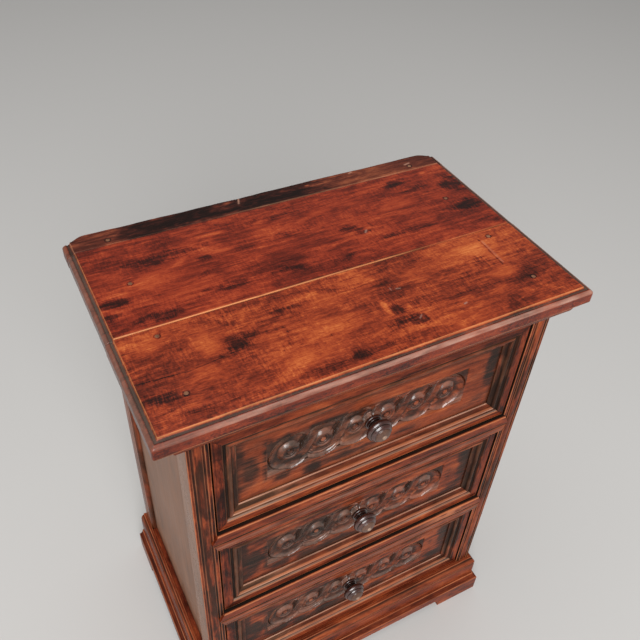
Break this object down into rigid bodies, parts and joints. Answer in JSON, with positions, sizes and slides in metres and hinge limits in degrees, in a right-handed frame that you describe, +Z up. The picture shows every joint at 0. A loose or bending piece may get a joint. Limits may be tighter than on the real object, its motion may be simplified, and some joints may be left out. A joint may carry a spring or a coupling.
{
  "type": "commode",
  "caption": "Small joined wooden commode with a moulded overhanging top, framed sides and a moulded base; carved drawers with turned knobs slide out at the front.",
  "frame": {"origin": "on the floor, below the middle of the box round the whole commode", "axes": "+Z up, +Y towards the back, +X to the right of someone facing the drawers"},
  "size_m": [0.664, 0.426, 0.86],
  "materials": {
    "polished_top": "french-polished walnut, worn and mottled",
    "moulded_walnut": "polished walnut, darkened in the recesses, worn on the arrises",
    "carved_front": "polished walnut, near black in the carving",
    "panel_wood": "dry satin walnut",
    "inner_wood": "bare dry softwood",
    "knob_wood": "polished dark turned wood",
    "peg_wood": "dark wood flush with the top"
  },
  "bodies": {
    "case": {"top_front_board": "polished_top", "top_middle_board": "polished_top", "top_back_strip": "polished_top", "top_pegs": "peg_wood", "front_bed_moulding": "moulded_walnut", "left_bed_moulding": "moulded_walnut", "right_bed_moulding": "moulded_walnut", "front_left_post": "moulded_walnut", "front_right_post": "moulded_walnut", "rear_left_post": "moulded_walnut", "rear_right_post": "moulded_walnut", "front_top_rail": "moulded_walnut", "upper_drawer_rail": "moulded_walnut", "lower_drawer_rail": "moulded_walnut", "front_bottom_rail": "moulded_walnut", "left_top_rail": "moulded_walnut", "right_top_rail": "moulded_walnut", "left_bottom_rail": "moulded_walnut", "right_bottom_rail": "moulded_walnut", "left_side_panel": "panel_wood", "right_side_panel": "panel_wood", "rear_top_rail": "inner_wood", "rear_bottom_rail": "inner_wood", "upper_back_board": "inner_wood", "middle_back_board": "inner_wood", "lower_back_board": "inner_wood", "front_base_moulding": "moulded_walnut", "left_base_moulding": "moulded_walnut", "right_base_moulding": "moulded_walnut", "front_plinth": "moulded_walnut", "left_plinth": "moulded_walnut", "right_plinth": "moulded_walnut", "top_left_runner": "inner_wood", "top_right_runner": "inner_wood", "middle_left_runner": "inner_wood", "middle_right_runner": "inner_wood", "bottom_left_runner": "inner_wood", "bottom_right_runner": "inner_wood"},
    "top_drawer": {"top_drawer_front": "carved_front", "top_drawer_frame": "moulded_walnut", "top_drawer_knob": "knob_wood", "top_drawer_left_side": "inner_wood", "top_drawer_right_side": "inner_wood", "top_drawer_back": "inner_wood", "top_drawer_bottom": "inner_wood"},
    "middle_drawer": {"middle_drawer_front": "carved_front", "middle_drawer_frame": "moulded_walnut", "middle_drawer_knob": "knob_wood", "middle_drawer_left_side": "inner_wood", "middle_drawer_right_side": "inner_wood", "middle_drawer_back": "inner_wood", "middle_drawer_bottom": "inner_wood"},
    "bottom_drawer": {"bottom_drawer_front": "carved_front", "bottom_drawer_frame": "moulded_walnut", "bottom_drawer_knob": "knob_wood", "bottom_drawer_left_side": "inner_wood", "bottom_drawer_right_side": "inner_wood", "bottom_drawer_back": "inner_wood", "bottom_drawer_bottom": "inner_wood"}
  },
  "joints": [
    {"name": "top_drawer_slide", "type": "slide", "parent": "case", "child": "top_drawer", "axis": [0, -1, 0], "range_m": [0, 0.27]},
    {"name": "middle_drawer_slide", "type": "slide", "parent": "case", "child": "middle_drawer", "axis": [0, -1, 0], "range_m": [0, 0.27]},
    {"name": "bottom_drawer_slide", "type": "slide", "parent": "case", "child": "bottom_drawer", "axis": [0, -1, 0], "range_m": [0, 0.27]}
  ]
}
